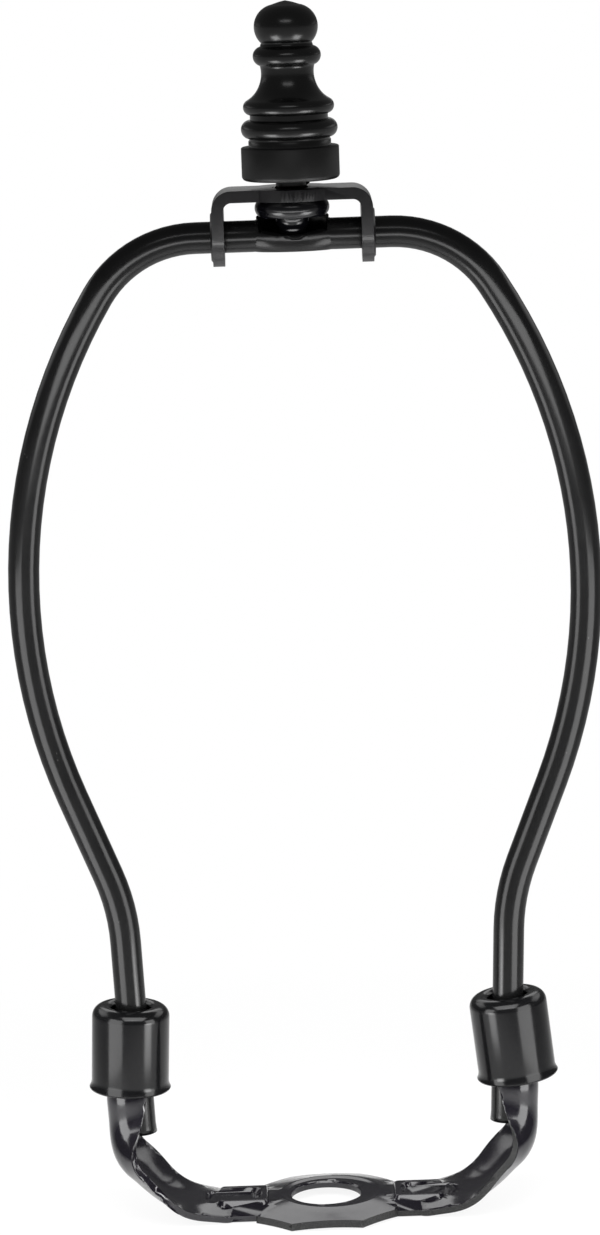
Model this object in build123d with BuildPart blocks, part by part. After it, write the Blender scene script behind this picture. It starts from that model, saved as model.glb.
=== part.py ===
from build123d import *
import os
from math import atan, atan2, cos, degrees, radians, sin, sqrt, tan

# A detachable lamp harp: a round wire bow whose feet stand in a pressed saddle, each foot
# locked by a sliding sleeve, with a bracket, a swivel stud and a finial at the top.
# Sizes are millimetres and angles degrees. The origin is the centre of the saddle's hole,
# on the flat underside around it. X runs across the bow, and +Z points up.

# Wire bow
wire_radius = 2.7
crown_z = 170.9
corner_radius = 20.0
belly_reach = 16.2
widest_z = 110.0
side_radius = 97.0
shoulder_lean = 21.5
knee_radius = 37.0
leg_lean = 2.2
foot_gap = 1.65
foot_z = 13.6
foot_flare = 0.12
foot_flare_length = 1.6

# Coined pad in the middle of the crown, where the wire is struck flat, and the low wall of
# struck metal behind it
pad_half_length = 5.75
pad_half_width = 3.9
pad_depth = 2.0
pad_sag = 0.6
pad_end_slope = 8.0
bulge_half_length = 6.9
bulge_end_radius = 2.5
wall_start = 3.05
wall_rise = 0.4
wall_round = 0.3
under_flat = 0.05

# Saddle plate: a hole, a flat ring, a low ridge and a rolled-down rim with eight sides
sheet = 1.2
hole_radius = 6.2
hole_ease = 0.3
ring_radius = 7.8
ridge_ring_radius = 8.7
ridge_ring_rise = 0.25
rim_fall = 13.5
rim_round = 1.6
press_shift = 0.9
plate_half_x = 12.4
plate_half_y = 13.0
plate_nose_half = 6.2

# Saddle arms: turned-down edges, and a pressed groove between two ridges
arm_half_width = 7.7
arm_edge_drop = 1.3
arm_fall = 16.0
arm_round = 6.0
arm_root = 8.6
groove_start = 12.9
groove_end = 20.3
groove_run_out = 1.6
groove_floor_half = 2.6
groove_corner = 1.5
groove_sink = 0.3
ridge_half_width = 4.9
ridge_rise = 0.4
ridge_round = 0.3
press_draft = 40.0

# Saddle trough and upright channel: the strap bends up to a ramp, and up again to the
# channel, with the same radius
bend_start = 23.5
bend_radius = 11.3
ramp_lean = 45.0
ramp_length = 4.2
trough_half_width = 9.2
trough_depth = 3.6
channel_lean = 2.5
channel_top_z = 35.8
channel_half_width = 2.95
channel_floor_half = 0.1
channel_depth = 7.4
channel_top_fall = 12.0
bend_lead = 7.0
bend_trail = 10.0
round_limit = 0.98

# Sleeves, drawn cups with a hole in the domed top and a flared mouth
sleeve_radius = 6.8
sleeve_wall = 0.7
sleeve_length = 15.1
sleeve_flare = 0.35
sleeve_flare_length = 1.8
sleeve_shoulder = 2.0
sleeve_hole_radius = 3.45
sleeve_dish_radius = 4.5
sleeve_dish = 0.4
sleeve_rounds = (2.0, sleeve_shoulder, 0.8)
sleeve_seat_gap = 0.3
sleeve_lean = {"left": 2.8, "right": 6.1}
sleeve_shift = {"left": 0.05, "right": -0.15}

# Bracket, a strap bent down into two ears that hold the wire
bracket_gap = 5.4
bracket_thickness = 2.0
bracket_half_length = 13.65
bracket_bend = 3.4
ear_radius = 5.0
ear_boss_radius = 4.3
ear_boss_rise = 0.3
ear_boss_draft = 50.0
wire_clearance = 0.25
disc_radius = 7.45

# Swivel stud, headed under the bracket
stud_radius = 3.175
stud_rise = 12.7
stud_chamfer = 0.7
running_clearance = 0.08
stud_play = 0.1
head_radius = 6.35
head_rim_radius = 5.6
head_rim_rise = 1.2
head_height = 2.8
collar_radius = 2.95
collar_drop = 0.5
boss_radius = 2.3
boss_length = 1.0

# Finial base, a turned collar with a spigot pressed up into the knob
finial_gap = 1.3
base_radius = 8.3
base_height = 5.6
base_bottom_round = 0.8
base_top_ease = 0.15
spigot_radius = 4.3
spigot_length = 9.0
press_gap = 0.03

# Finial knob, turned: points of its outline, each a radius and a height above the base
lip_top = (7.0, 1.0)
lip_groove = (6.75, 1.4)
lower_bead = (8.15, 2.7)
middle_groove = (6.6, 5.0)
middle_groove_half = 0.4
upper_bead = (7.7, 6.7)
bell_rim = (6.95, 7.9)
bell = (5.0, 10.0)
waist = (4.45, 12.3)
waist_top = (4.6, 13.6)
neck_bead = (5.75, 15.1)
neck_bead_top = (4.5, 16.8)
neck = (4.3, 17.4)
ball = (5.4, 19.95)
ball_top = (2.4, 23.73)
nub = (1.1, 24.15)
tip_height = 24.4

# Heights up the middle
crown_top_z = crown_z + wire_radius
pad_floor_z = crown_top_z - pad_depth
bracket_under_z = pad_floor_z + bracket_gap
bracket_top_z = bracket_under_z + bracket_thickness
head_top_z = bracket_under_z - stud_play
stud_top_z = bracket_top_z + stud_rise
base_z = bracket_top_z + finial_gap
knob_z = base_z + base_height

# The bow's centre line: its feet stand off the channels' inside faces by a gap, its sides
# reach out past them, and the corner arc touches the crown and the side arc
ramp_run = ramp_length * cos(radians(ramp_lean))
foot_half = bend_start + bend_radius + ramp_run - sheet - foot_gap - wire_radius
widest_half = foot_half + belly_reach
side_centre_x = widest_half - side_radius
corner_centre_z = crown_z - corner_radius
arc_gap = side_radius - corner_radius
corner_centre_x = side_centre_x + sqrt(arc_gap**2 - (corner_centre_z - widest_z) ** 2)
corner_turn = 90 - degrees(
    atan2(corner_centre_z - widest_z, corner_centre_x - side_centre_x)
)
side_turn = 90 + shoulder_lean - corner_turn
side_end_x = side_centre_x + side_radius * cos(radians(shoulder_lean))
side_end_z = widest_z - side_radius * sin(radians(shoulder_lean))
lean_slope = tan(radians(leg_lean))
shoulder_slope = tan(radians(shoulder_lean))
knee_z = (
    foot_half - foot_z * lean_slope - side_end_x + side_end_z * shoulder_slope
) / (shoulder_slope - lean_slope)


def leg_x(z):
    """Half the distance between the legs' centre lines at a height."""
    return foot_half + (z - foot_z) * lean_slope


# The strap's bend: how far it turns, and the length along the underside
bend_turn = radians(90 - channel_lean)
bend_length = bend_radius * bend_turn + ramp_length
ramp_rise = ramp_length * sin(radians(ramp_lean))
bend_rise = bend_radius * (1 - cos(bend_turn)) + ramp_rise


def strap_plane(distance):
    """The plane across the strap, at a distance past the start of its bend.

    Its origin is on the underside, its x axis runs across the strap, and its y axis
    points through the sheet to the inner face.
    """
    ramp_start = bend_radius * radians(ramp_lean)
    ramp = min(max(distance - ramp_start, 0), ramp_length) / ramp_length
    turn = min(max((distance - ramp * ramp_length) / bend_radius, 0), bend_turn)
    run = min(distance, 0) + max(distance - bend_length, 0)
    x = bend_start + bend_radius * sin(turn) + ramp * ramp_run + run * cos(turn)
    z = bend_radius * (1 - cos(turn)) + ramp * ramp_rise + run * sin(turn)
    return Plane(origin=(x, 0, z), x_dir=(0, 1, 0), z_dir=(cos(turn), 0, sin(turn)))


def strap_section(distance, half_width, depth, fold, inner_round):
    """A cut through the strap: a flat floor with a lip folded up, or down, on each side.

    half_width and depth give the inner corner of the lip's edge, fold its angle.
    """
    angle = radians(fold)
    corner = half_width - (depth - sheet) / tan(angle)
    lip = (depth - sheet) / sin(angle)
    inner_round = min(inner_round, round_limit * min(corner, lip) / tan(abs(angle) / 2))
    corner_step = sheet * tan(angle / 2)
    under_x = half_width + sheet * sin(angle)
    under_y = depth - sheet * cos(angle)
    under_round = inner_round + (sheet if fold > 0 else -sheet)
    with BuildSketch(strap_plane(distance)) as section:
        with BuildLine():
            inner = FilletPolyline(
                (-half_width, depth),
                (-corner, sheet),
                (corner, sheet),
                (half_width, depth),
                radius=inner_round,
            )
            under = FilletPolyline(
                (-under_x, under_y),
                (-corner - corner_step, 0),
                (corner + corner_step, 0),
                (under_x, under_y),
                radius=under_round,
            )
            Line(inner @ 0, under @ 0)
            Line(inner @ 1, under @ 1)
        make_face()
    return section.sketch


def between(first, second, share):
    """A value a share of the way from the first to the second."""
    return first + (second - first) * share


# Sections of the strap at an even pitch, from the flat arm to the start of the upright:
# shares of the change in width and depth, the fold, and the round inside it.
arm_depth = sheet - arm_edge_drop
opening = [
    (0.0, 0.0, -arm_fall, arm_round + sheet),
    (0.25, 0.08, -10.0, 12.0),
    (0.6, 0.26, -4.0, 20.0),
    (0.85, 0.56, 8.0, 16.0),
    (0.96, 0.84, 16.0, 11.0),
    (1.0, 1.0, 21.0, 9.0),
]
channel_round = channel_half_width - channel_floor_half
closing = [
    (0.02, 0.05, 25.0, 9.0),
    (0.14, 0.1, 36.0, 6.5),
    (0.38, 0.24, 56.0, 4.8),
    (0.73, 0.47, 77.0, 3.6),
    (0.96, 0.75, 88.0, channel_round),
    (1.0, 0.95, 90.0, channel_round),
    (1.0, 1.0, 90.0, channel_round),
]
strap_length = bend_lead + bend_length + bend_trail
station_pitch = strap_length / (len(opening) + len(closing) - 1)
sections = []
for stations, widths, depths in (
    (opening, (arm_half_width, trough_half_width), (arm_depth, trough_depth)),
    (closing, (trough_half_width, channel_half_width), (trough_depth, channel_depth)),
):
    for width_share, depth_share, fold, inner_round in stations:
        sections.append(
            strap_section(
                station_pitch * len(sections) - bend_lead,
                between(*widths, width_share),
                between(*depths, depth_share),
                fold,
                inner_round,
            )
        )
upright_start = bend_length + bend_trail
upright_rise = bend_rise + (upright_start - bend_length) * sin(bend_turn)
upright_length = (channel_top_z - upright_rise) / sin(bend_turn)
channel_corner = strap_plane(upright_start + upright_length).origin
top_fall = radians(channel_top_fall)

os.makedirs("parts", exist_ok=True)

# One side of the saddle's strap: arm, trough and upright channel
with BuildPart() as strap:
    loft(sections=sections)
    extrude(sections[0], amount=arm_root + bend_lead - bend_start)
    extrude(sections[-1], amount=upright_length + channel_depth * sin(top_fall))
    split(
        bisect_by=Plane(origin=channel_corner, z_dir=(-sin(top_fall), 0, cos(top_fall))),
        keep=Keep.BOTTOM,
    )

# Saddle, pressed from one strip of sheet
with BuildPart() as saddle:
    # The plate's rim profile, turned about the press's centre and trimmed to its eight sides
    rim_reach = plate_half_x + plate_nose_half
    profile_start = hole_radius - press_shift - sheet
    ridge_top = sheet + ridge_ring_rise
    rim_end = ridge_top - (rim_reach - ridge_ring_radius) * tan(radians(rim_fall))
    with BuildSketch(Plane.XZ):
        with BuildLine():
            top = FilletPolyline(
                (profile_start, sheet),
                (ring_radius, sheet),
                (ridge_ring_radius, ridge_top),
                (rim_reach, rim_end),
                radius=(rim_round, rim_round / 2),
            )
            rim_step = sheet * tan(radians(rim_fall) / 2)
            under = FilletPolyline(
                (profile_start, 0),
                (ridge_ring_radius - rim_step, 0),
                (rim_reach, rim_end - sheet / cos(radians(rim_fall))),
                radius=rim_round / 2,
            )
            Line(top @ 0, under @ 0)
            Line(top @ 1, under @ 1)
        make_face()
    revolve(axis=Axis.Z)
    saddle.part.position = (press_shift, 0, 0)
    with BuildSketch(Plane.XY.offset(-plate_half_y)):
        Polygon(
            (plate_half_x, arm_half_width),
            (plate_nose_half, plate_half_y),
            (-plate_nose_half, plate_half_y),
            (-plate_half_x, arm_half_width),
            (-plate_half_x, -arm_half_width),
            (-plate_nose_half, -plate_half_y),
            (plate_nose_half, -plate_half_y),
            (plate_half_x, -arm_half_width),
            align=None,
        )
    extrude(amount=2 * plate_half_y, mode=Mode.INTERSECT)
    add(strap.part)
    mirror(strap.part, about=Plane.YZ)

    # Each arm's groove: two ridges pressed up, and the floor between them pressed down
    ridge_length = groove_end - groove_start + ridge_half_width - groove_floor_half
    ridge_centre = (groove_end + groove_start - ridge_half_width + groove_floor_half) / 2
    floor_length = groove_end - groove_start + groove_run_out
    floor_centre = (groove_end + groove_start + groove_run_out) / 2
    ridge_base = sheet / 2
    ridge_height = sheet + ridge_rise - ridge_base
    floor_z = sheet - groove_sink
    presses = [
        (ridge_centre, ridge_length, ridge_half_width, ridge_base, ridge_height, -1, Mode.ADD),
        (floor_centre, floor_length, groove_floor_half, 0, -groove_sink, -1, Mode.ADD),
        (floor_centre, floor_length, groove_floor_half, floor_z, ridge_height, 1, Mode.SUBTRACT),
    ]
    for side in (1, -1):
        for centre, length, half_width, low_z, height, spread, mode in presses:
            step = spread * abs(height) * tan(radians(press_draft))
            for z, widening in ((low_z, 0), (low_z + height, step)):
                with BuildSketch(Plane.XY.offset(z)):
                    with Locations((side * centre + press_shift, 0)):
                        RectangleRounded(
                            length + 2 * widening,
                            2 * (half_width + widening),
                            groove_corner + widening,
                        )
            loft(mode=mode)

    # The hole, with its upper edge eased
    with BuildSketch():
        Circle(hole_radius)
    extrude(amount=2 * sheet, both=True, mode=Mode.SUBTRACT)
    hole_edge = saddle.edges().filter_by(GeomType.CIRCLE).filter_by(
        lambda edge: abs(edge.radius - hole_radius) < hole_ease
    )
    chamfer(hole_edge.sort_by(Axis.Z)[-1], hole_ease)

    # The ridges' upper edges, rounded by the press
    ridge_edges = saddle.edges().filter_by(
        lambda edge: abs(edge.center().Z - sheet - ridge_rise) < ridge_ring_rise / 2
        and abs(edge.center().X - press_shift) > groove_start - ridge_half_width
        and edge.bounding_box().size.Z < ridge_ring_rise / 2
    )
    fillet(ridge_edges, ridge_round)

# Bow: one length of round wire, struck flat in the middle of its crown
with BuildPart() as bow:
    with BuildLine(Plane.XZ):
        crown = Line((0, crown_z), (corner_centre_x, crown_z))
        corner = JernArc(crown @ 1, crown % 1, corner_radius, -corner_turn)
        side = JernArc(corner @ 1, corner % 1, side_radius, -side_turn)
        FilletPolyline(
            (side_end_x, side_end_z),
            (leg_x(knee_z), knee_z),
            (foot_half, foot_z),
            radius=knee_radius,
        )
    with BuildSketch(Plane(origin=(0, 0, crown_z), z_dir=(1, 0, 0))):
        Circle(wire_radius)
    sweep()

    # The foot is spread a little where the wire was cut
    leg_direction = (sin(radians(leg_lean)), 0, cos(radians(leg_lean)))
    with BuildSketch(Plane(origin=(foot_half, 0, foot_z), z_dir=leg_direction)):
        Circle(wire_radius + foot_flare)
    extrude(amount=foot_flare_length, taper=degrees(atan(foot_flare / foot_flare_length)))
    mirror(about=Plane.YZ)

    # The struck metal bulges to front and back, and stands up behind the pad
    with BuildSketch(Plane.XZ):
        with BuildLine():
            bulge = ThreePointArc(
                (-bulge_half_length, crown_z + bulge_end_radius),
                (0, crown_z + pad_half_width),
                (bulge_half_length, crown_z + bulge_end_radius),
            )
            Polyline(
                bulge @ 1,
                (bulge_half_length, crown_z),
                (-bulge_half_length, crown_z),
                bulge @ 0,
            )
        make_face()
    revolve(axis=Axis((0, 0, crown_z), (1, 0, 0)))
    wall_height = 2 * (wire_radius + wall_rise)
    with BuildSketch(Plane.XZ.offset(-wall_start)):
        with Locations((0, crown_z)):
            RectangleRounded(2 * pad_half_length, wall_height, wall_round)
    extrude(amount=wall_start - pad_half_width)

    # The strike itself, and the flat under the bulge
    with BuildSketch(Plane.XZ.offset(-wall_start)):
        with BuildLine():
            floor = ThreePointArc(
                (-pad_half_length, pad_floor_z),
                (0, pad_floor_z - pad_sag),
                (pad_half_length, pad_floor_z),
            )
            strike_top_z = crown_top_z + pad_depth
            end_step = (strike_top_z - pad_floor_z) * tan(radians(pad_end_slope))
            Polyline(
                floor @ 1,
                (pad_half_length + end_step, strike_top_z),
                (-pad_half_length - end_step, strike_top_z),
                floor @ 0,
            )
        make_face()
    extrude(amount=2 * pad_half_width, mode=Mode.SUBTRACT)
    with BuildSketch(Plane.XZ):
        flat_z = crown_z - wire_radius + under_flat
        with Locations((0, flat_z - pad_depth / 2)):
            Rectangle(2 * bulge_half_length, pad_depth)
    extrude(amount=pad_half_width, both=True, mode=Mode.SUBTRACT)

# Bracket: a strap with a round disc for the stud and two ears for the wire
with BuildPart() as bracket:
    ear_low_z = crown_z - ear_radius
    inner_half = bracket_half_length - bracket_thickness
    with BuildSketch(Plane.XZ):
        with BuildLine():
            outer = FilletPolyline(
                (-bracket_half_length, ear_low_z),
                (-bracket_half_length, bracket_top_z),
                (bracket_half_length, bracket_top_z),
                (bracket_half_length, ear_low_z),
                radius=bracket_bend,
            )
            inner = FilletPolyline(
                (-inner_half, ear_low_z),
                (-inner_half, bracket_under_z),
                (inner_half, bracket_under_z),
                (inner_half, ear_low_z),
                radius=bracket_bend - bracket_thickness,
            )
            Line(outer @ 0, inner @ 0)
            Line(outer @ 1, inner @ 1)
        make_face()
    extrude(amount=ear_radius, both=True)
    for side in (1, -1):
        with BuildSketch(
            Plane(
                origin=(side * bracket_half_length, 0, crown_z),
                x_dir=(0, 1, 0),
                z_dir=(side, 0, 0),
            )
        ):
            Circle(ear_boss_radius)
        extrude(amount=ear_boss_rise, taper=ear_boss_draft)
    with BuildSketch(Plane.YZ):
        with Locations((0, crown_z)):
            Circle(ear_radius)
        with Locations((0, (crown_z + bracket_top_z) / 2)):
            Rectangle(2 * ear_radius, bracket_top_z - crown_z)
    extrude(amount=bracket_half_length + bracket_thickness, both=True, mode=Mode.INTERSECT)
    with BuildSketch(Plane.YZ):
        with Locations((0, crown_z)):
            Circle(wire_radius + wire_clearance)
    extrude(amount=bracket_half_length + bracket_thickness, both=True, mode=Mode.SUBTRACT)
    with BuildSketch(Plane.XY.offset(bracket_under_z)):
        Circle(disc_radius)
    extrude(amount=bracket_thickness)
    with BuildSketch(Plane.XY.offset(bracket_under_z)):
        Circle(stud_radius + running_clearance)
    extrude(amount=bracket_thickness, mode=Mode.SUBTRACT)

# Swivel stud: its head is trapped between the bracket and the coined pad
with BuildPart() as stud:
    boss_z = pad_floor_z - pad_sag + stud_play + pad_sag * (boss_radius / pad_half_length) ** 2
    head_low_z = head_top_z - head_height
    collar_z = head_low_z - collar_drop
    with BuildSketch(Plane.XZ):
        with BuildLine():
            Polyline(
                (0, boss_z),
                (boss_radius, boss_z),
                (boss_radius, boss_z + boss_length),
                (collar_radius, collar_z),
                (collar_radius, head_low_z),
                (head_rim_radius, head_low_z),
            )
            ThreePointArc(
                (head_rim_radius, head_low_z),
                (head_radius, head_top_z - head_rim_rise),
                (head_rim_radius, head_top_z),
            )
            Polyline(
                (head_rim_radius, head_top_z),
                (stud_radius, head_top_z),
                (stud_radius, stud_top_z - stud_chamfer),
                (stud_radius - stud_chamfer, stud_top_z),
                (0, stud_top_z),
                (0, boss_z),
            )
        make_face()
    revolve(axis=Axis.Z)

# Finial base
with BuildPart() as finial_base:
    bore_radius = stud_radius + running_clearance
    spigot_top_z = knob_z + spigot_length
    with BuildSketch(Plane.XZ):
        with BuildLine():
            rim = FilletPolyline(
                (bore_radius, base_z),
                (base_radius, base_z),
                (base_radius, knob_z - base_top_ease),
                radius=base_bottom_round,
            )
            Polyline(
                rim @ 1,
                (base_radius - base_top_ease, knob_z),
                (spigot_radius, knob_z),
                (spigot_radius, spigot_top_z),
                (bore_radius, spigot_top_z),
                rim @ 0,
            )
        make_face()
    revolve(axis=Axis.Z)

# Finial knob, on its own plane: x is the radius and y the height above the base
knob_plane = Plane(origin=(0, 0, knob_z), x_dir=(1, 0, 0), z_dir=(0, -1, 0))
with BuildPart() as finial_knob:
    socket_radius = spigot_radius + press_gap
    socket_height = spigot_length + press_gap
    groove_low = (middle_groove[0], middle_groove[1] - middle_groove_half)
    groove_high = (middle_groove[0], middle_groove[1] + middle_groove_half)
    with BuildSketch(knob_plane):
        with BuildLine():
            Polyline((socket_radius, 0), (lip_top[0], 0), lip_top, lip_groove)
            ThreePointArc(lip_groove, lower_bead, groove_low)
            Line(groove_low, groove_high)
            ThreePointArc(groove_high, upper_bead, bell_rim)
            Spline(bell_rim, bell, waist, waist_top)
            ThreePointArc(waist_top, neck_bead, neck_bead_top)
            Line(neck_bead_top, neck)
            ThreePointArc(neck, ball, ball_top)
            Polyline(
                ball_top,
                nub,
                (0, tip_height),
                (0, socket_height),
                (socket_radius, socket_height),
                (socket_radius, 0),
            )
        make_face()
    revolve(axis=Axis.Z)

# Sleeves: each hangs on the outboard corner of the channel's top, leaning inwards
dome_round = sleeve_shoulder - sleeve_wall
for side, turn in (("left", -1), ("right", 1)):
    lean = radians(sleeve_lean[side])
    hang = channel_corner.X - leg_x(channel_corner.Z) - sleeve_shift[side]
    inside = sleeve_radius - sleeve_wall
    into_shoulder = max(hang - inside + dome_round, 0)
    shoulder_drop = dome_round - sqrt(dome_round**2 - min(into_shoulder, dome_round) ** 2)
    ceiling_rise = (sleeve_seat_gap + shoulder_drop - hang * sin(lean)) / cos(lean)
    ceiling_z = channel_corner.Z + ceiling_rise
    ceiling_x = leg_x(ceiling_z) + sleeve_shift[side]
    axis_direction = (-sin(lean), 0, cos(lean))
    drop = sleeve_length - sleeve_wall
    mouth = (ceiling_x + drop * sin(lean), 0, ceiling_z - drop * cos(lean))
    mouth_plane = Plane(
        origin=(turn * mouth[0], 0, mouth[2]),
        x_dir=(cos(lean), 0, turn * sin(lean)),
        z_dir=(-turn * sin(lean), 0, cos(lean)),
    )
    profile_plane = Plane(
        origin=mouth_plane.origin, x_dir=mouth_plane.x_dir, z_dir=-mouth_plane.y_dir
    )
    with BuildPart() as sleeve:
        with BuildSketch(profile_plane):
            with BuildLine():
                skin = FilletPolyline(
                    (sleeve_radius + sleeve_flare, 0),
                    (sleeve_radius, sleeve_flare_length),
                    (sleeve_radius, sleeve_length),
                    (sleeve_dish_radius, sleeve_length),
                    (sleeve_hole_radius, sleeve_length - sleeve_dish),
                    radius=sleeve_rounds,
                )
                offset(amount=sleeve_wall, side=Side.LEFT)
            make_face()
        revolve(axis=Axis(mouth_plane.origin, mouth_plane.z_dir))
    sleeve.part.label = f"sleeve_{side}"
    export_step(sleeve.part, f"parts/sleeve_{side}.step")

for name, built in (
    ("saddle", saddle),
    ("bow", bow),
    ("bracket", bracket),
    ("stud", stud),
    ("finial_base", finial_base),
    ("finial_knob", finial_knob),
):
    built.part.label = name
    export_step(built.part, f"parts/{name}.step")
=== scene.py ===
from math import atan2, pi, radians, sqrt

import bmesh
import bpy
from bpy.props import FloatProperty, FloatVectorProperty, PointerProperty
from mathutils import Matrix, Vector


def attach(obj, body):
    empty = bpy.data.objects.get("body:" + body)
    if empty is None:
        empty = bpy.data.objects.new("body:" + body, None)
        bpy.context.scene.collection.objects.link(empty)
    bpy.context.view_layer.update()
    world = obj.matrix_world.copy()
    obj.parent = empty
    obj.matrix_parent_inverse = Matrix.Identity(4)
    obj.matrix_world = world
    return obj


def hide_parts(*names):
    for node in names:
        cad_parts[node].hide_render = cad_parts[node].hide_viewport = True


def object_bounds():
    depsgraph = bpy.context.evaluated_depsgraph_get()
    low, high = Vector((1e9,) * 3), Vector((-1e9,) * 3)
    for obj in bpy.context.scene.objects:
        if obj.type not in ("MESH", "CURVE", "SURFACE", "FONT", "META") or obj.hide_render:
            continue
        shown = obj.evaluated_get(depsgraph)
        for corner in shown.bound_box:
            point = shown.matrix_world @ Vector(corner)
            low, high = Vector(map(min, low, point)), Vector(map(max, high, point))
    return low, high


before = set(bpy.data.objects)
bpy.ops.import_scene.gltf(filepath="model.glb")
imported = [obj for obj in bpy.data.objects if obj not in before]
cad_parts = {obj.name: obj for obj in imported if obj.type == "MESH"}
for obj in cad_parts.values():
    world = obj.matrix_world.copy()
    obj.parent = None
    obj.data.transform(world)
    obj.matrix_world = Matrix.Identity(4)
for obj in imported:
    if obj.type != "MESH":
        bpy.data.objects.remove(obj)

bl_info = {
    "name": "Lamp harp",
    "version": (1, 0, 0),
    "blender": (4, 5, 0),
    "location": "3D View > Sidebar > Harp",
    "description": "Dresses the packed lamp harp: wire, sleeves, saddle, bracket, stud and finial",
    "category": "Object",
}

CAD_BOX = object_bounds()
MM = 0.001
ACROSS = Vector((0, 1, 0))
UP = Vector((0, 0, 1))

# Edges steeper than the first angle shade sharp, and those steeper than the second are eased
SHARP = radians(32)
EASED = radians(38)

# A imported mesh's triangles join within the first distance; the second finds slivers, and the
# seam and poles of a turned mesh
JOINED = 0.001 * MM
SLIVER = 0.0005 * MM

# The floor reaches this far, and so does the camera's sight
FAR = 20.0
FLOOR_GAP = 0.1 * MM
FLOOR_WHITE = 0.85

# The focal length and the height of the photograph, both in pixels, give the lens
SENSOR = 36.0
LENS = SENSOR * 4191.6 / 1235


def length(name, millimetres, description):
    """A length property, written in millimetres."""
    return FloatProperty(
        name=name,
        description=description,
        default=millimetres * MM,
        min=0.0,
        precision=5,
        unit="LENGTH",
    )


def turn(name, degrees, description):
    """An angle property, written in degrees."""
    return FloatProperty(
        name=name, description=description, default=radians(degrees), unit="ROTATION"
    )


def colour(name, values, description):
    """A colour property, in linear red, green and blue."""
    return FloatVectorProperty(
        name=name,
        description=description,
        default=values,
        size=3,
        min=0,
        max=1,
        subtype="COLOR",
    )


def share(name, value, description):
    """A property with no unit, from 0 to 1."""
    return FloatProperty(name=name, description=description, default=value, min=0, max=1)


def power(name, watts, description):
    """A lamp's power."""
    return FloatProperty(
        name=name, description=description, default=watts, min=0, unit="POWER"
    )


class SleeveSizes(bpy.types.PropertyGroup):
    """The drawn locking sleeves."""

    radius: length("Sleeve radius", 6.8, "Outside radius of the sleeve")
    wall: length("Sleeve wall", 0.7, "Thickness of the sleeve's sheet")
    height: length("Sleeve height", 15.1, "From the mouth to the top")
    flare: length("Mouth flare", 0.35, "How far the mouth opens past the body")
    flare_height: length("Flare height", 1.9, "From the mouth to where the flare ends")
    shoulder: length("Shoulder radius", 2.0, "Round between the side and the top")
    hole: length("Hole radius", 3.45, "Radius of the wire's hole")
    dish: length("Dish depth", 0.4, "How far the hole's edge is dished down")
    left_lean: turn("Left lean", 2.8, "How far the left sleeve leans inwards")
    right_lean: turn("Right lean", 6.1, "How far the right sleeve leans inwards")
    left_x: length("Left mouth", 33.8377, "Distance of the left mouth from the middle")
    left_z: length("Left mouth height", 21.7178, "Height of the left mouth")
    right_x: length("Right mouth", 34.4587, "Distance of the right mouth from the middle")
    right_z: length("Right mouth height", 21.6332, "Height of the right mouth")


class StudSizes(bpy.types.PropertyGroup):
    """The swivel stud and its thread."""

    radius: length("Stud radius", 3.175, "Radius where the stud turns in the bracket")
    crest: length("Thread crest", 3.14, "Radius over the thread's crests")
    root: length("Thread root", 2.62, "Radius at the thread's roots")
    pitch: length("Thread pitch", 0.94, "Rise of the thread in one turn")
    thread_low: length("Thread start", 179.1, "Height where the thread starts")
    top: length("Stud top", 191.7, "Height of the stud's top")
    head_low: length("Head underside", 174.1, "Height of the head's underside")
    head_top: length("Head top", 176.9, "Height of the head's top")
    head: length("Head radius", 6.35, "Radius of the head")
    neck: length("Neck radius", 2.95, "Radius of the neck under the head")
    boss: length("Boss radius", 2.3, "Radius of the boss on the pad")
    boss_low: length("Boss underside", 171.2, "Height of the boss's underside")


class HarpFinishes(bpy.types.PropertyGroup):
    """Colours of the lacquers."""

    wire: colour("Wire", (0.0045, 0.0045, 0.0046), "Satin lacquer on the wire")
    sleeve: colour("Sleeve", (0.003, 0.003, 0.0033), "Glossy lacquer on the sleeves")
    saddle: colour("Saddle", (0.0045, 0.004, 0.006), "Glossy lacquer on the saddle")
    edge: colour("Sheared edge", (0.007, 0.007, 0.007), "Rough sheared edges")
    bracket: colour("Bracket", (0.004, 0.0037, 0.0045), "Lacquer on the bracket")
    stud: colour("Stud", (0.002, 0.002, 0.003), "Lacquer on the stud")
    collar: colour("Collar", (0.006, 0.006, 0.006), "Matte lacquer on the finial's collar")
    knob: colour("Knob", (0.004, 0.004, 0.004), "Lacquer on the finial's knob")
    dust: colour("Dust", (0.06, 0.06, 0.06), "Small specks in the lacquer")


class StageSettings(bpy.types.PropertyGroup):
    """Camera, lamps and background."""

    strip_power: power("Strip power", 0.155, "Power of each soft strip beside the harp")
    front_power: power("Front power", 0.35, "Power of the long lamp above the camera")
    top_power: power("Top power", 0.036, "Power of each lamp above and behind")
    slope_power: power("Slope power", 0.28, "Power of the near lamp before the saddle")
    cup_power: power("Cup power", 0.004, "Power of each small lamp aimed across at a sleeve")
    ambient: share("Ambient", 0.3, "Light that the white surroundings give")
    sky_gloss: share("Sky in gloss", 0.12, "How much of the white sky the lacquer mirrors")
    near_gloss: share("Near floor in gloss", 0.14, "White of the floor in front, in gloss")
    far_gloss: share("Far floor in gloss", 0.2, "White of the floor behind, in gloss")
    gloss_reach: length("Gloss reach", 100, "Depth over which one turns into the other")
    floor_shade: share("Floor shade", 0.12, "How much of its own shade the floor keeps")
    shade_reach: length("Shade reach", 160, "Where the floor's shade has faded out")
    camera_left: length("Camera left", 1.07, "How far left of the middle the camera is")
    camera_front: length("Camera front", 710.6, "How far before the harp the camera is")
    camera_height: length("Camera height", 238.4, "Height of the camera")
    camera_pitch: turn("Camera pitch", 10.645, "How far down the camera looks")
    camera_roll: turn("Camera roll", 2, "How far the camera is rolled")


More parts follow.
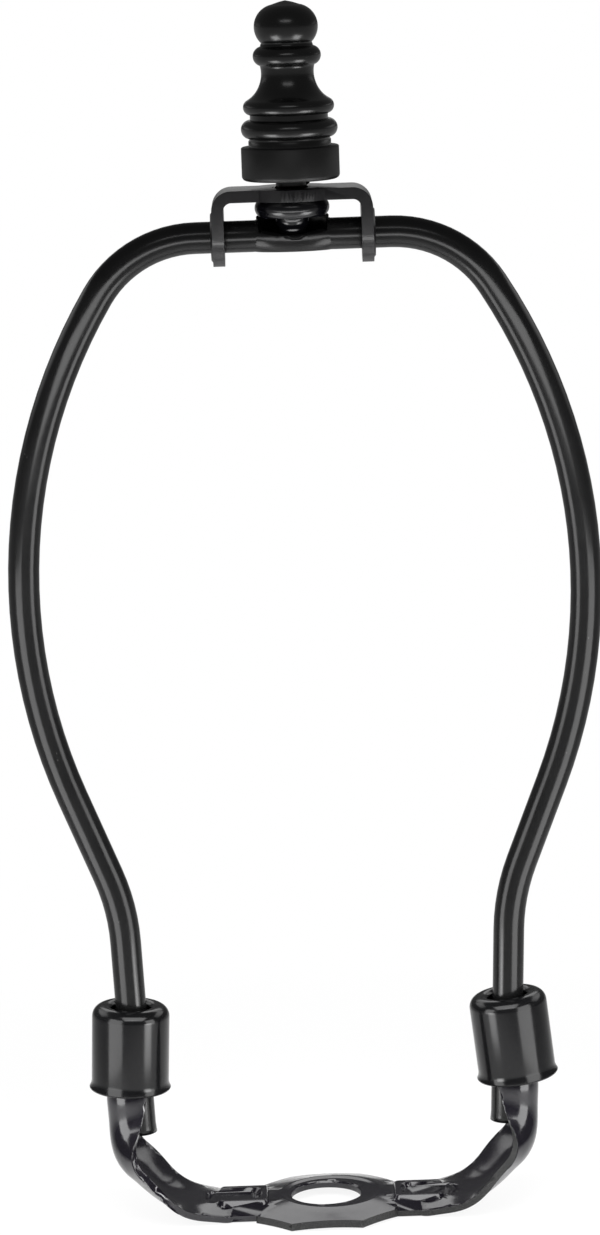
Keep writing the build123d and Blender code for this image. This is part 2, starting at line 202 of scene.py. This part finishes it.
class Value:
    """A socket in a node tree, with the arithmetic that the finishes use."""

    def __init__(self, tree, socket):
        self.tree = tree
        self.socket = socket

    def _math(self, operation, *operands):
        made = self.tree.node(
            "ShaderNodeMath", {"operation": operation}, dict(enumerate(operands))
        )
        return made["Value"]

    def __add__(self, other):
        return self._math("ADD", self, other)

    def __radd__(self, other):
        return self._math("ADD", other, self)

    def __sub__(self, other):
        return self._math("SUBTRACT", self, other)

    def __rsub__(self, other):
        return self._math("SUBTRACT", other, self)

    def __mul__(self, other):
        return self._math("MULTIPLY", self, other)

    def __rmul__(self, other):
        return self._math("MULTIPLY", other, self)

    def __gt__(self, other):
        return self._math("GREATER_THAN", self, other)

    def at_least(self, other):
        return self._math("MAXIMUM", self, other)

    def at_most(self, other):
        return self._math("MINIMUM", self, other)


class Tree:
    """The node tree of a material or of the world."""

    def __init__(self, owner, output_type):
        owner.use_nodes = True
        self.tree = owner.node_tree
        self.tree.nodes.clear()
        self.output = self.tree.nodes.new(output_type)

    def node(self, kind, settings=None, inputs=None):
        """Adds a node: its settings first, then the values or links of its sockets."""
        made = self.tree.nodes.new(kind)
        for key, value in (settings or {}).items():
            setattr(made, key, value)
        for key, value in (inputs or {}).items():
            if isinstance(value, Value):
                self.tree.links.new(value.socket, made.inputs[key])
            elif isinstance(value, tuple):
                made.inputs[key].default_value = (*value, 1)
            else:
                made.inputs[key].default_value = value
        return {socket.name: Value(self, socket) for socket in made.outputs}

    def mix(self, factor, first, second):
        """A blend of two colours."""
        made = self.tree.nodes.new("ShaderNodeMix")
        made.data_type = "RGBA"
        sockets = [s for s in made.inputs if s.enabled]
        for socket, value in zip(sockets, (factor, first, second)):
            if isinstance(value, Value):
                self.tree.links.new(value.socket, socket)
            else:
                socket.default_value = (*value, 1)
        return Value(self, [s for s in made.outputs if s.enabled][0])

    def noise(self, grain, detail):
        """Noise from 0 to 1 whose grains are about this size."""
        place = self.node("ShaderNodeTexCoord")["Object"]
        made = self.node(
            "ShaderNodeTexNoise", None, {"Vector": place, "Scale": 1 / grain, "Detail": detail}
        )
        return made["Fac"]

    def finish(self, surface):
        """Joins the surface to the output."""
        self.tree.links.new(surface.socket, self.output.inputs["Surface"])


def scaled(tint, by):
    """A colour made darker or lighter."""
    return tuple(channel * by for channel in tint)


def lacquer(name, tint, roughness, peel=0.04, shine=0.5, waves=0.0, specks=0.0):
    """Black lacquer: uneven tint and gloss, orange peel, slow waves and dust specks.

    The peel is a bump's strength, the waves are in millimetres, and the specks are a share.
    """
    material = bpy.data.materials.new(name)
    tree = Tree(material, "ShaderNodeOutputMaterial")
    broad = tree.noise(9 * MM, 3)
    fine = tree.noise(0.6 * MM, 3)
    base = tree.mix(broad, scaled(tint, 0.65), scaled(tint, 1.35))
    dust = tree.noise(0.35 * MM, 0) > 1 - specks
    base = tree.mix(dust, base, tuple(bpy.context.scene.harp_finishes.dust))
    uneven = {"Distance": waves * MM, "Height": tree.noise(5 * MM, 1)}
    swell = tree.node("ShaderNodeBump", None, uneven)["Normal"]
    peeled = {"Strength": peel, "Distance": 0.05 * MM, "Height": tree.noise(0.9 * MM, 2)}
    bump = tree.node("ShaderNodeBump", None, {**peeled, "Normal": swell})
    shader = tree.node(
        "ShaderNodeBsdfPrincipled",
        None,
        {
            "Base Color": base,
            "Roughness": roughness + 0.12 * (broad - 0.5) + 0.1 * (fine - 0.5) + 0.3 * dust,
            "Specular IOR Level": shine,
            "Normal": bump["Normal"],
        },
    )
    tree.finish(shader["BSDF"])
    return material


def sheared(name, tint):
    """A sheared edge: dull and pitted, with painted shade darkening its pits and painted
    highlights lightening their crests.
    """
    material = bpy.data.materials.new(name)
    tree = Tree(material, "ShaderNodeOutputMaterial")
    pits_and_painted_shade = tree.noise(0.35 * MM, 4)
    broad = tree.noise(2.5 * MM, 2)
    pitted = {"Strength": 0.9, "Distance": 0.2 * MM, "Height": pits_and_painted_shade}
    shader = tree.node(
        "ShaderNodeBsdfPrincipled",
        None,
        {
            # Painted shade and highlight: the colour follows the pits' height, darker in their
            # hollows and lighter on their crests
            "Base Color": tree.mix(pits_and_painted_shade, scaled(tint, 0.4), scaled(tint, 1.8)),
            "Roughness": 0.38 + 0.3 * broad,
            "Specular IOR Level": 0.3,
            "Normal": tree.node("ShaderNodeBump", None, pitted)["Normal"],
        },
    )
    tree.finish(shader["BSDF"])
    return material


class Outline:
    """Draws a profile in the XZ plane, in millimetres, by extruding and spinning its tip."""

    def __init__(self, bm, x, z):
        self.bm = bm
        self.tip = bm.verts.new((x * MM, 0, z * MM))

    def lines(self, *points):
        """Straight lines from the tip to each point in turn."""
        for x, z in points:
            self.tip = bmesh.ops.extrude_vert_indiv(self.bm, verts=[self.tip])["verts"][0]
            self.tip.co = (x * MM, 0, z * MM)

    def arc(self, middle, end, steps):
        """An arc from the tip through the middle point to the end."""
        start = self.tip.co.copy()
        middle = Vector((middle[0] * MM, 0, middle[1] * MM))
        end = Vector((end[0] * MM, 0, end[1] * MM))
        centre = circle_centre(start, middle, end)
        angles = [atan2(p.z - centre.z, p.x - centre.x) for p in (start, middle, end)]
        to_middle = (angles[0] - angles[1]) % (2 * pi)
        to_end = (angles[0] - angles[2]) % (2 * pi)
        angle = to_end if to_middle < to_end else to_end - 2 * pi
        made = bmesh.ops.spin(
            self.bm,
            geom=[self.tip],
            cent=centre,
            axis=ACROSS,
            angle=angle,
            steps=steps,
            use_merge=False,
            use_duplicate=False,
        )["geom_last"]
        self.tip = [part for part in made if isinstance(part, bmesh.types.BMVert)][0]


def circle_centre(first, second, third):
    """The centre of the circle through three points of the XZ plane."""
    ax, az, bx, bz = first.x, first.z, second.x, second.z
    cx, cz = third.x, third.z
    d = 2 * (ax * (bz - cz) + bx * (cz - az) + cx * (az - bz))
    a, b, c = ax * ax + az * az, bx * bx + bz * bz, cx * cx + cz * cz
    x = (a * (bz - cz) + b * (cz - az) + c * (az - bz)) / d
    z = (a * (cx - bx) + b * (ax - cx) + c * (bx - ax)) / d
    return Vector((x, 0, z))


def diagonal(x, z, radius):
    """The point halfway round the upper outer quarter of a circle about (x, z)."""
    reach = radius * sqrt(0.5)
    return x + reach, z + reach


def turned(bm, steps):
    """Spins the profile about the Z axis and closes its poles."""
    bmesh.ops.spin(
        bm,
        geom=bm.verts[:] + bm.edges[:],
        cent=(0, 0, 0),
        axis=UP,
        angle=2 * pi,
        steps=steps,
        use_merge=True,
        use_duplicate=False,
    )
    bmesh.ops.remove_doubles(bm, verts=bm.verts[:], dist=SLIVER)
    bmesh.ops.recalc_face_normals(bm, faces=bm.faces[:])


def piece(name, bm, body, nodes, *materials):
    """Makes the object that stands for these nodes, riding on a body."""
    mesh = bpy.data.meshes.new(name)
    for face in bm.faces:
        face.smooth = True
    bm.to_mesh(mesh)
    bm.free()
    # Joining loose triangles can leave a face twice, and this takes the second one away
    mesh.validate()
    mesh.set_sharp_from_angle(angle=SHARP)
    for material in materials:
        mesh.materials.append(material)
    made = bpy.data.objects.new(name, mesh)
    bpy.context.scene.collection.objects.link(made)
    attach(made, body)
    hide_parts(*nodes)
    return made


def ease(made, millimetres):
    """Rounds the sharp edges of an object."""
    modifier = made.modifiers.new("Eased edges", "BEVEL")
    modifier.width = millimetres * MM
    modifier.segments = 2
    modifier.limit_method = "ANGLE"
    modifier.angle_limit = EASED
    modifier.harden_normals = True


def joined_copy(node):
    """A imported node's mesh with its loose triangles joined."""
    bm = bmesh.new()
    bm.from_mesh(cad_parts[node].data)
    bmesh.ops.remove_doubles(bm, verts=bm.verts[:], dist=JOINED)
    bmesh.ops.dissolve_degenerate(bm, edges=bm.edges[:], dist=SLIVER)
    return bm


def mark_sheared(bm):
    """Gives material 1 to the smooth areas that join the two largest, the sheet's skins."""
    unseen = set(bm.faces)
    islands = []
    while unseen:
        front = [unseen.pop()]
        island = list(front)
        while front:
            face = front.pop()
            for edge in face.edges:
                if len(edge.link_faces) != 2 or edge.calc_face_angle(0) > SHARP:
                    continue
                for other in edge.link_faces:
                    if other in unseen:
                        unseen.remove(other)
                        front.append(other)
                        island.append(other)
        islands.append(island)
    islands.sort(key=lambda island: -sum(face.calc_area() for face in island))
    skins = [set(island) for island in islands[:2]]
    for island in islands[2:]:
        beside = {other for face in island for edge in face.edges for other in edge.link_faces}
        if all(beside & skin for skin in skins):
            for face in island:
                face.material_index = 1


class HARP_OT_wire(bpy.types.Operator):
    """Dresses the bow's wire, with its struck pad and cut feet"""

    bl_idname = "harp.wire"
    bl_label = "Wire bow"

    def execute(self, context):
        tint = tuple(context.scene.harp_finishes.wire)
        finish = lacquer("wire lacquer", tint, 0.2, shine=0.22, specks=0.1)
        bm = joined_copy("bow")
        self.close_wall(bm)
        piece("wire_bow", bm, "harp", ["bow"], finish)
        return {"FINISHED"}

    def close_wall(self, bm):
        """Draws the ends of the low wall behind the pad out to the wire beside it."""
        behind, above, inner, outer, drawn = 3.0 * MM, 172.6 * MM, 5.3 * MM, 6 * MM, 0.45 * MM
        for side in (1, -1):
            ends = [
                vert
                for vert in bm.verts
                if vert.co.y > behind and vert.co.z > above and inner < side * vert.co.x < outer
            ]
            bmesh.ops.translate(bm, verts=ends, vec=(side * drawn, 0, 0))


class HARP_OT_sleeves(bpy.types.Operator):
    """Spins both locking sleeves and leans each on its leg"""

    bl_idname = "harp.sleeves"
    bl_label = "Locking sleeves"

    def execute(self, context):
        sizes = context.scene.harp_sleeves
        tint = tuple(context.scene.harp_finishes.sleeve)
        finish = lacquer("sleeve lacquer", tint, 0.16, peel=0.03, shine=0.22, specks=0.08)
        for side, sign, lean, x, z in (
            ("left", -1, sizes.left_lean, sizes.left_x, sizes.left_z),
            ("right", 1, sizes.right_lean, sizes.right_x, sizes.right_z),
        ):
            bm = bmesh.new()
            self.profile(bm, sizes)
            turned(bm, 128)
            place = Matrix.Translation((sign * x, 0, z)) @ Matrix.Rotation(-sign * lean, 4, "Y")
            bmesh.ops.transform(bm, matrix=place, verts=bm.verts[:])
            piece(f"sleeve_cup_{side}", bm, f"{side}_sleeve", [f"sleeve_{side}"], finish)
        return {"FINISHED"}

    def profile(self, bm, sizes):
        """The sleeve's wall: mouth, outside, top, hole, and back down the inside."""
        radius, wall, top = sizes.radius / MM, sizes.wall / MM, sizes.height / MM
        flare, shoulder, hole = sizes.flare / MM, sizes.shoulder / MM, sizes.hole / MM
        dished, body = top - sizes.dish / MM, sizes.flare_height / MM
        inside, mouth, lip = radius - wall, radius + flare, wall / 2
        centre, side = radius - shoulder, top - shoulder
        bell, waist, hole_round = 0.3 * flare, 0.9, 0.15
        pen = Outline(bm, mouth - wall, lip)
        pen.arc((mouth - lip, 0), (mouth, lip), 8)
        pen.arc((radius + bell, waist), (radius, body), 6)
        pen.lines((radius, side))
        pen.arc(diagonal(centre, side, shoulder), (centre, top), 12)
        pen.arc((hole + 0.75, top - 0.06), (hole + hole_round, dished), 5)
        pen.arc((hole, dished - 0.25), (hole + hole_round, dished - wall + 0.1), 4)
        pen.lines((centre, top - wall))
        pen.arc(diagonal(centre, side, shoulder - wall), (inside, side), 8)
        pen.lines((inside, body))
        pen.arc((inside + bell, waist), (mouth - wall, lip), 6)


class HARP_OT_saddle(bpy.types.Operator):
    """Dresses the pressed saddle, with lacquered skins and sheared edges"""

    bl_idname = "harp.saddle"
    bl_label = "Saddle"

    def execute(self, context):
        finishes = context.scene.harp_finishes
        tint = tuple(finishes.saddle)
        finish = lacquer("saddle lacquer", tint, 0.15, peel=0.08, waves=0.08, specks=0.1)
        edge = sheared("saddle edge", tuple(finishes.edge))
        bm = joined_copy("saddle")
        mark_sheared(bm)
        made = piece("pressed_saddle", bm, "harp", ["saddle"], finish, edge)
        ease(made, 0.1)
        return {"FINISHED"}


class HARP_OT_bracket(bpy.types.Operator):
    """Dresses the bracket with its disc and ears"""

    bl_idname = "harp.bracket"
    bl_label = "Bracket"

    def execute(self, context):
        tint = tuple(context.scene.harp_finishes.bracket)
        finish = lacquer("bracket lacquer", tint, 0.3, peel=0.06, specks=0.1)
        made = piece("top_bracket", joined_copy("bracket"), "harp", ["bracket"], finish)
        ease(made, 0.2)
        return {"FINISHED"}


class HARP_OT_stud(bpy.types.Operator):
    """Turns the swivel stud and cuts its thread"""

    bl_idname = "harp.stud"
    bl_label = "Swivel stud"

    def execute(self, context):
        sizes = context.scene.harp_stud
        finish = lacquer("stud lacquer", tuple(context.scene.harp_finishes.stud), 0.2)
        bm = bmesh.new()
        self.profile(bm, sizes)
        turned(bm, 96)
        self.thread(bm, sizes)
        piece("swivel_stud", bm, "swivel", ["stud"], finish)
        return {"FINISHED"}

    def profile(self, bm, sizes):
        """The stud's side: boss, neck, head, plain part and the thread's core."""
        radius, root, head = sizes.radius / MM, sizes.root / MM, sizes.head / MM
        low, top, start = sizes.head_low / MM, sizes.top / MM, sizes.thread_low / MM
        high, boss, neck = sizes.head_top / MM, sizes.boss / MM, sizes.neck / MM
        foot = sizes.boss_low / MM
        chamfer = 0.25
        pen = Outline(bm, 0, foot)
        pen.lines((boss - 0.6, foot))
        pen.arc((boss - 0.15, foot + 0.2), (boss, foot + 0.7), 5)
        pen.lines((boss + 0.05, foot + 1.0))
        pen.arc((neck - 0.2, foot + 1.6), (neck, low - 0.3), 5)
        pen.lines((neck, low), (head - 0.85, low))
        pen.arc((head, high - 1.25), (head - 0.6, high), 14)
        pen.lines((radius, high), (radius, start - 0.25), (root, start + 0.2))
        pen.lines((root, top - chamfer), (root - chamfer, top), (0, top))

    def thread(self, bm, sizes):
        """A ridge with a flat crest, spun up the core as a helix."""
        steps = 36
        sunk, flat, clear = 0.02, 0.06, 0.04
        crest, root, half = sizes.crest / MM, sizes.root / MM - sunk, sizes.pitch / MM / 2
        turns = int((sizes.top - sizes.thread_low) / sizes.pitch) - 1
        start = sizes.thread_low / MM + half + 0.1
        core = set(bm.verts) | set(bm.edges)
        pen = Outline(bm, root, start - half + clear)
        pen.lines((crest, start - flat), (crest, start + flat), (root, start + half - clear))
        bmesh.ops.spin(
            bm,
            geom=[part for part in bm.verts[:] + bm.edges[:] if part not in core],
            cent=(0, 0, 0),
            axis=UP,
            dvec=(0, 0, sizes.pitch / steps),
            angle=2 * pi * turns,
            steps=steps * turns,
            use_merge=False,
            use_duplicate=False,
        )
        bmesh.ops.holes_fill(bm, edges=[e for e in bm.edges if e.is_boundary], sides=5)
        bmesh.ops.recalc_face_normals(bm, faces=bm.faces[:])


class HARP_OT_finial(bpy.types.Operator):
    """Dresses the finial's turned collar and its beaded knob"""

    bl_idname = "harp.finial"
    bl_label = "Finial"

    def execute(self, context):
        finishes = context.scene.harp_finishes
        matte = lacquer("collar lacquer", tuple(finishes.collar), 0.5, peel=0.08)
        piece("finial_collar", joined_copy("finial_base"), "finial", ["finial_base"], matte)
        glossy = lacquer("knob lacquer", tuple(finishes.knob), 0.24, specks=0.1)
        bm = joined_copy("finial_knob")
        piece("finial_bead_knob", bm, "finial", ["finial_knob"], glossy)
        return {"FINISHED"}


class HARP_OT_stage(bpy.types.Operator):
    """Sets the floor, the white surroundings, the lamps and the camera"""

    bl_idname = "harp.stage"
    bl_label = "Stage"

    def execute(self, context):
        settings = context.scene.harp_stage
        self.floor(context, settings)
        self.world(context, settings)
        self.lamps(context, settings)
        self.camera(context, settings)
        context.scene.view_settings.view_transform = "Standard"
        return {"FINISHED"}

    def seen(self, tree, gloss):
        """How much a ray sees of the white surroundings."""
        path = tree.node("ShaderNodeLightPath")
        mirrored = path["Is Glossy Ray"].at_least(path["Is Transmission Ray"])
        return path["Is Camera Ray"].at_least(mirrored * gloss)

    def floor(self, context, settings):
        """A white floor that keeps a little of the harp's shade near it."""
        under = CAD_BOX[0][2] - FLOOR_GAP
        bm = bmesh.new()
        bmesh.ops.create_grid(bm, x_segments=1, y_segments=1, size=FAR)
        bmesh.ops.translate(bm, verts=bm.verts[:], vec=(0, 0, under))
        mesh = bpy.data.meshes.new("floor")
        bm.to_mesh(mesh)
        bm.free()
        floor = bpy.data.objects.new("floor", mesh)
        context.scene.collection.objects.link(floor)
        material = bpy.data.materials.new("white floor")
        tree = Tree(material, "ShaderNodeOutputMaterial")
        grey = {"Color": (FLOOR_WHITE, FLOOR_WHITE, FLOOR_WHITE)}
        matte = tree.node("ShaderNodeBsdfDiffuse", None, grey)["BSDF"]
        glow = {"Color": (1, 1, 1), "Strength": 1.0}
        white = tree.node("ShaderNodeEmission", None, glow)["Emission"]
        place = tree.node("ShaderNodeTexCoord")["Object"]
        away = tree.node("ShaderNodeVectorMath", {"operation": "LENGTH"}, {0: place})["Value"]
        faded = (away * (1 / settings.shade_reach)).at_most(1)
        kept = (1 - faded) * settings.floor_shade
        depth = tree.node("ShaderNodeSeparateXYZ", None, {0: place})["Y"]
        behind = (depth * (1 / settings.gloss_reach)).at_least(0).at_most(1)
        gloss_step = settings.far_gloss - settings.near_gloss
        gloss = settings.near_gloss + behind * gloss_step
        factor = self.seen(tree, gloss) * (1 - kept)
        mixed = tree.node("ShaderNodeMixShader", None, {0: factor, 1: matte, 2: white})
        tree.finish(mixed["Shader"])
        mesh.materials.append(material)

    def world(self, context, settings):
        """White surroundings, dimmer in the gloss and in the light that they give."""
        world = context.scene.world or bpy.data.worlds.new("white")
        context.scene.world = world
        tree = Tree(world, "ShaderNodeOutputWorld")
        path = tree.node("ShaderNodeLightPath")
        given = path["Is Diffuse Ray"] * settings.ambient
        strength = self.seen(tree, settings.sky_gloss).at_least(given)
        glow = {"Color": (1, 1, 1), "Strength": strength}
        tree.finish(tree.node("ShaderNodeBackground", None, glow)["Background"])

    def lamps(self, context, settings):
        """Soft strips at the sides, three lamps behind and four in front."""
        middle = (0, 0, 0)
        for name, side in (("strip left", -1), ("strip right", 1)):
            place, aim = (side * 0.096, -0.070, 0.052), (0, 0, 0.052)
            self.lamp(context, name, place, aim, (0.072, 0.104), settings.strip_power)
        for around in (-58, 0, 58):
            place = Matrix.Rotation(radians(around), 3, "Z") @ Vector((0, 0.22, 0.19))
            size, watts = (0.24, 0.1), settings.top_power
            self.lamp(context, "top lamp", place, middle, size, watts, 80)
        place, aim = (0, -0.55, 0.55), (0, 0, 0.1)
        self.lamp(context, "front lamp", place, aim, (0.4, 0.06), settings.front_power)
        place = (0, -0.08, 0.14)
        self.lamp(context, "slope lamp", place, middle, (0.14, 0.09), settings.slope_power)
        for side in (-1, 1):
            place, aim = (-side * 0.029, -0.049, 0.016), (side * 0.034, 0, 0.02)
            self.lamp(context, "cup lamp", place, aim, (0.03, 0.03), settings.cup_power, 60)

    def lamp(self, context, name, place, aim, size, watts, spread=180):
        """An area lamp that the camera doesn't see; its spread is in degrees."""
        data = bpy.data.lights.new(name, "AREA")
        data.shape = "RECTANGLE"
        data.size, data.size_y = size
        data.energy = watts
        data.spread = radians(spread)
        made = bpy.data.objects.new(name, data)
        context.scene.collection.objects.link(made)
        made.location = place
        made.rotation_euler = (Vector(aim) - Vector(place)).to_track_quat("-Z", "Y").to_euler()
        made.visible_camera = False

    def camera(self, context, settings):
        """The camera, where the photograph was taken from."""
        data = bpy.data.cameras.new("camera")
        data.sensor_width = SENSOR
        data.lens = LENS
        data.clip_start = 0.01
        data.clip_end = FAR
        made = bpy.data.objects.new("camera", data)
        context.scene.collection.objects.link(made)
        place = (-settings.camera_left, -settings.camera_front, settings.camera_height)
        pitch = Matrix.Rotation(pi / 2 - settings.camera_pitch, 4, "X")
        roll = Matrix.Rotation(-settings.camera_roll, 4, "Z")
        made.matrix_world = Matrix.Translation(place) @ pitch @ roll
        context.scene.camera = made


class HARP_PT_pieces(bpy.types.Panel):
    """Lists the pieces of the harp"""

    bl_idname = "HARP_PT_pieces"
    bl_label = "Lamp harp"
    bl_space_type = "VIEW_3D"
    bl_region_type = "UI"
    bl_category = "Harp"

    def draw(self, context):
        column = self.layout.column()
        for operator in PIECES:
            column.operator(operator.bl_idname)


PIECES = (
    HARP_OT_stage,
    HARP_OT_wire,
    HARP_OT_sleeves,
    HARP_OT_saddle,
    HARP_OT_bracket,
    HARP_OT_stud,
    HARP_OT_finial,
)
GROUPS = {
    "harp_sleeves": SleeveSizes,
    "harp_stud": StudSizes,
    "harp_finishes": HarpFinishes,
    "harp_stage": StageSettings,
}


def register():
    for kind in (*GROUPS.values(), *PIECES, HARP_PT_pieces):
        bpy.utils.register_class(kind)
    for name, group in GROUPS.items():
        setattr(bpy.types.Scene, name, PointerProperty(type=group))


def unregister():
    for name in GROUPS:
        delattr(bpy.types.Scene, name)
    for kind in reversed((*GROUPS.values(), *PIECES, HARP_PT_pieces)):
        bpy.utils.unregister_class(kind)


def main():
    register()
    bpy.ops.harp.stage()
    bpy.ops.harp.wire()
    bpy.ops.harp.sleeves()
    bpy.ops.harp.saddle()
    bpy.ops.harp.bracket()
    bpy.ops.harp.stud()
    bpy.ops.harp.finial()


if __name__ == "__main__":
    main()
